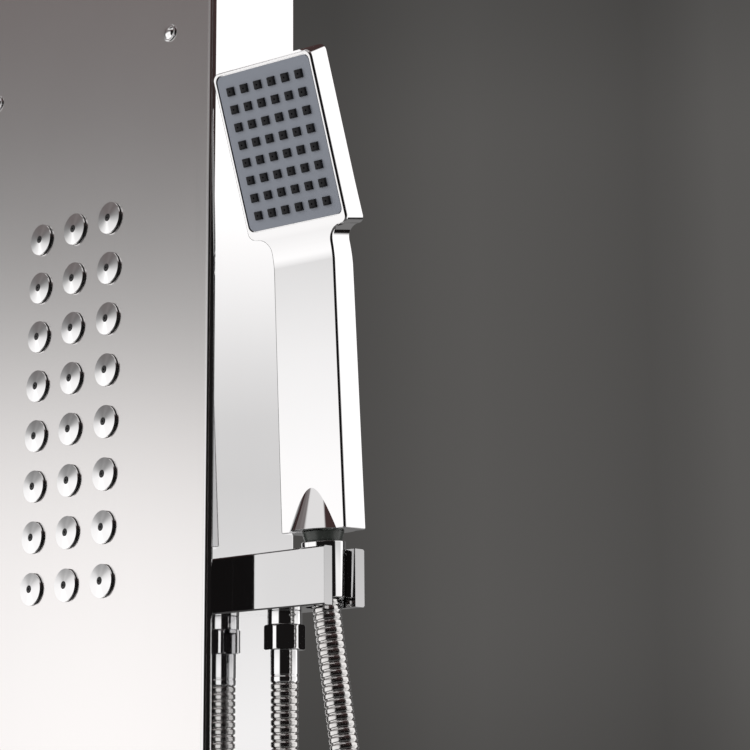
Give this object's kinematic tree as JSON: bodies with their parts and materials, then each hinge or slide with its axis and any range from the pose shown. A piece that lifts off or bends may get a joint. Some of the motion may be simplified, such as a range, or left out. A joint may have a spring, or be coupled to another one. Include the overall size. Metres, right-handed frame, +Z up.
{
  "type": "shower panel column",
  "caption": "Wall-mounted shower panel column with body jets, a lever mixer, a diverter, a tilting rain head on an arm, and a hand shower in a side socket on a ribbed hose.",
  "frame": {"origin": "middle of the upper wall hanger's screw pattern, on the wall plane", "axes": "+Z up along the column, +Y into the wall, +X to the right of someone who faces the column"},
  "size_m": [0.4463, 0.4775, 1.6627],
  "materials": {
    "satin_steel": "vertical satin brushing, mirror-polished sides",
    "chrome": "polished",
    "hose_steel": "polished ribbed strip",
    "grey_face": "smooth satin grey",
    "grey_ring": "smooth satin",
    "pale_stud": "soft silicone",
    "dark_tip": "soft, dark",
    "black_washer": "plain",
    "zinc_plate": "plain mill sheet",
    "white_plastic": "moulded",
    "raw_brass": "cast and turned"
  },
  "bodies": {
    "column": {"column_shell": "satin_steel", "top_end_pan": "satin_steel", "bottom_end_pan": "satin_steel", "wall_hanger": "zinc_plate", "hanger_crossbar": "zinc_plate", "foot_bracket": "zinc_plate", "jet_bodies": "chrome", "jet_tips": "dark_tip", "jet_manifold": "white_plastic", "manifold_carrier": "zinc_plate", "carrier_standoffs": "zinc_plate", "carrier_screws": "chrome", "carrier_nuts": "zinc_plate", "bracket_bar": "chrome", "bracket_gasket": "black_washer", "bracket_nut": "raw_brass", "outlet_nipple": "chrome", "outlet_nut": "chrome", "outlet_washer": "black_washer", "outlet_ferrule": "chrome", "hose": "hose_steel", "rain_arm": "chrome", "arm_flange": "chrome", "arm_nut": "raw_brass", "mixer_plate": "chrome", "mixer_body": "raw_brass", "mixer_cartridge": "white_plastic", "diverter_plate": "chrome", "diverter_body": "raw_brass", "diverter_cartridge": "white_plastic", "hot_inlet": "raw_brass", "cold_inlet": "raw_brass", "link_pipe": "raw_brass", "jet_feed_pipe": "raw_brass", "riser_pipe": "raw_brass", "bracket_feed_pipe": "raw_brass"},
    "hose_end": {"cone_nut": "chrome", "cone_washer": "black_washer", "hose_end_ferrule": "chrome"},
    "hand_shower": {"handset_body": "chrome", "spray_plate": "grey_face", "spray_studs": "pale_stud", "inlet_ring": "grey_ring", "inlet_tube": "raw_brass"},
    "ball_seats": {"lower_ball_seat": "white_plastic", "upper_ball_seat": "white_plastic"},
    "rain_head": {"ball_cup": "chrome", "rain_body": "chrome", "rain_plate": "satin_steel", "rain_nozzles": "dark_tip"},
    "mixer_turret_body": {"mixer_turret": "chrome", "lever_pin": "zinc_plate"},
    "mixer_lever_body": {"mixer_lever": "chrome"},
    "diverter_knob_body": {"diverter_knob": "chrome"}
  },
  "joints": [
    {"name": "handset_lift", "type": "slide", "parent": "column", "child": "hose_end", "axis": [0, -0.0489, 0.9988], "range_m": [0, 0.06]},
    {"name": "handset_swivel", "type": "hinge", "parent": "hose_end", "child": "hand_shower", "pos_m": [0.172, -0.032, -0.557], "axis": [0, -0.0489, 0.9988], "range_deg": [-100, 100]},
    {"name": "rain_tilt_fore", "type": "hinge", "parent": "column", "child": "ball_seats", "pos_m": [0, -0.3625, 0.23], "axis": [1, 0, 0], "range_deg": [-12, 12]},
    {"name": "rain_tilt_side", "type": "hinge", "parent": "ball_seats", "child": "rain_head", "pos_m": [0, -0.3625, 0.23], "axis": [0, 1, 0], "range_deg": [-12, 12]},
    {"name": "mixer_turn", "type": "hinge", "parent": "column", "child": "mixer_turret_body", "pos_m": [0, -0.065, -0.88], "axis": [0, -1, 0], "range_deg": [-45, 45]},
    {"name": "mixer_lift", "type": "hinge", "parent": "mixer_turret_body", "child": "mixer_lever_body", "pos_m": [0, -0.0804, -0.88], "axis": [-1, 0, 0], "range_deg": [0, 20]},
    {"name": "diverter_turn", "type": "hinge", "parent": "column", "child": "diverter_knob_body", "pos_m": [0, -0.065, -0.76], "axis": [0, -1, 0], "range_deg": [-90, 90]}
  ]
}
